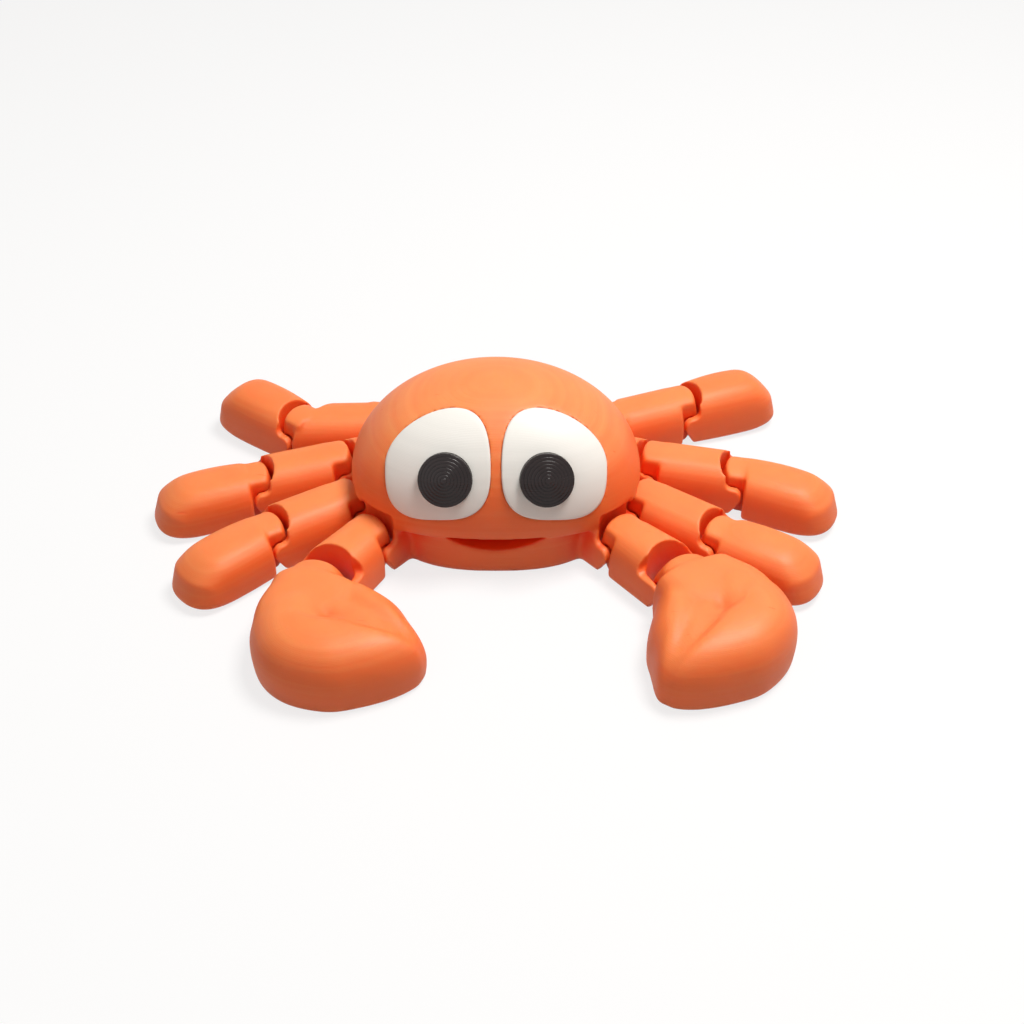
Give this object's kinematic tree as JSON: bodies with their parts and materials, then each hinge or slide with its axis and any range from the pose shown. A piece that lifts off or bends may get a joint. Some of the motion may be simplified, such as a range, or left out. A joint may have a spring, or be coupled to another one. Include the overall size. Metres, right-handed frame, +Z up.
{
  "type": "articulated crab toy",
  "caption": "Domed crab toy with big round eyes and a smile; its jointed legs and mitten claws hang loosely on bars and lift and droop to be fidgeted with.",
  "frame": {"origin": "middle of the flat underside, on the surface that the toy lies on", "axes": "+Z up from the surface; the face looks along -Y; +X to the right as the picture shows it"},
  "size_m": [0.1385, 0.0961, 0.0324],
  "materials": {
    "orange_plastic": "satin, fine print layers",
    "eye_white": "satin, fine print layers",
    "pupil": "soft sheen, fine print layers"
  },
  "bodies": {
    "body": {"body": "orange_plastic", "eye_white_left": "eye_white", "eye_white_right": "eye_white", "pupil_left": "pupil", "pupil_right": "pupil"},
    "leg_rear_left_inner": {"leg_rear_left_inner": "orange_plastic"},
    "leg_rear_left_outer": {"leg_rear_left_outer": "orange_plastic"},
    "leg_middle_left_inner": {"leg_middle_left_inner": "orange_plastic"},
    "leg_middle_left_outer": {"leg_middle_left_outer": "orange_plastic"},
    "leg_front_left_inner": {"leg_front_left_inner": "orange_plastic"},
    "leg_front_left_outer": {"leg_front_left_outer": "orange_plastic"},
    "arm_left": {"arm_left": "orange_plastic"},
    "claw_left": {"claw_left": "orange_plastic"},
    "leg_rear_right_inner": {"leg_rear_right_inner": "orange_plastic"},
    "leg_rear_right_outer": {"leg_rear_right_outer": "orange_plastic"},
    "leg_middle_right_inner": {"leg_middle_right_inner": "orange_plastic"},
    "leg_middle_right_outer": {"leg_middle_right_outer": "orange_plastic"},
    "leg_front_right_inner": {"leg_front_right_inner": "orange_plastic"},
    "leg_front_right_outer": {"leg_front_right_outer": "orange_plastic"},
    "arm_right": {"arm_right": "orange_plastic"},
    "claw_right": {"claw_right": "orange_plastic"}
  },
  "joints": [
    {"name": "leg_rear_left_inner_lift", "type": "hinge", "parent": "body", "child": "leg_rear_left_inner", "pos_m": [-0.024, 0.0216, 0.0048], "axis": [0.1564, 0.9877, 0], "range_deg": [-25, 10]},
    {"name": "leg_rear_left_outer_lift", "type": "hinge", "parent": "leg_rear_left_inner", "child": "leg_rear_left_outer", "pos_m": [-0.04179, 0.02107, 0.0048], "axis": [0.606, 0.7955, 0], "range_deg": [-25, 10]},
    {"name": "leg_middle_left_inner_lift", "type": "hinge", "parent": "body", "child": "leg_middle_left_inner", "pos_m": [-0.032, 0.008, 0.0048], "axis": [-0.2756, 0.9613, 0], "range_deg": [-25, 10]},
    {"name": "leg_middle_left_outer_lift", "type": "hinge", "parent": "leg_middle_left_inner", "child": "leg_middle_left_outer", "pos_m": [-0.04836, 0.00237, 0.0048], "axis": [-0.3256, 0.9455, 0], "range_deg": [-25, 10]},
    {"name": "leg_front_left_inner_lift", "type": "hinge", "parent": "body", "child": "leg_front_left_inner", "pos_m": [-0.0293, -0.0044, 0.0048], "axis": [-0.5664, 0.8241, 0], "range_deg": [-25, 10]},
    {"name": "leg_front_left_outer_lift", "type": "hinge", "parent": "leg_front_left_inner", "child": "leg_front_left_outer", "pos_m": [-0.04394, -0.01362, 0.0048], "axis": [-0.5329, 0.8462, 0], "range_deg": [-25, 10]},
    {"name": "arm_left_lift", "type": "hinge", "parent": "body", "child": "arm_left", "pos_m": [-0.0242, -0.0152, 0.0048], "axis": [-0.7547, 0.6561, 0], "range_deg": [-20, 10]},
    {"name": "claw_left_lift", "type": "hinge", "parent": "arm_left", "child": "claw_left", "pos_m": [-0.0327, -0.0278, 0.0048], "axis": [-0.9397, 0.342, 0], "range_deg": [-20, 27]},
    {"name": "leg_rear_right_inner_lift", "type": "hinge", "parent": "body", "child": "leg_rear_right_inner", "pos_m": [0.024, 0.0216, 0.0048], "axis": [0.1564, -0.9877, 0], "range_deg": [-25, 10]},
    {"name": "leg_rear_right_outer_lift", "type": "hinge", "parent": "leg_rear_right_inner", "child": "leg_rear_right_outer", "pos_m": [0.04056, 0.02812, 0.0048], "axis": [0.3502, -0.9367, 0], "range_deg": [-25, 10]},
    {"name": "leg_middle_right_inner_lift", "type": "hinge", "parent": "body", "child": "leg_middle_right_inner", "pos_m": [0.032, 0.008, 0.0048], "axis": [-0.2756, -0.9613, 0], "range_deg": [-25, 10]},
    {"name": "leg_middle_right_outer_lift", "type": "hinge", "parent": "leg_middle_right_inner", "child": "leg_middle_right_outer", "pos_m": [0.04886, 0.00411, 0.0048], "axis": [-0.225, -0.9744, 0], "range_deg": [-25, 10]},
    {"name": "leg_front_right_inner_lift", "type": "hinge", "parent": "body", "child": "leg_front_right_inner", "pos_m": [0.0293, -0.0044, 0.0048], "axis": [-0.5664, -0.8241, 0], "range_deg": [-25, 10]},
    {"name": "leg_front_right_outer_lift", "type": "hinge", "parent": "leg_front_right_inner", "child": "leg_front_right_outer", "pos_m": [0.04321, -0.01469, 0.0048], "axis": [-0.5948, -0.8039, 0], "range_deg": [-25, 10]},
    {"name": "arm_right_lift", "type": "hinge", "parent": "body", "child": "arm_right", "pos_m": [0.0242, -0.0152, 0.0048], "axis": [-0.7547, -0.6561, 0], "range_deg": [-20, 10]},
    {"name": "claw_right_lift", "type": "hinge", "parent": "arm_right", "child": "claw_right", "pos_m": [0.03447, -0.02641, 0.0048], "axis": [-0.8788, -0.4772, 0], "range_deg": [-20, 27]}
  ]
}
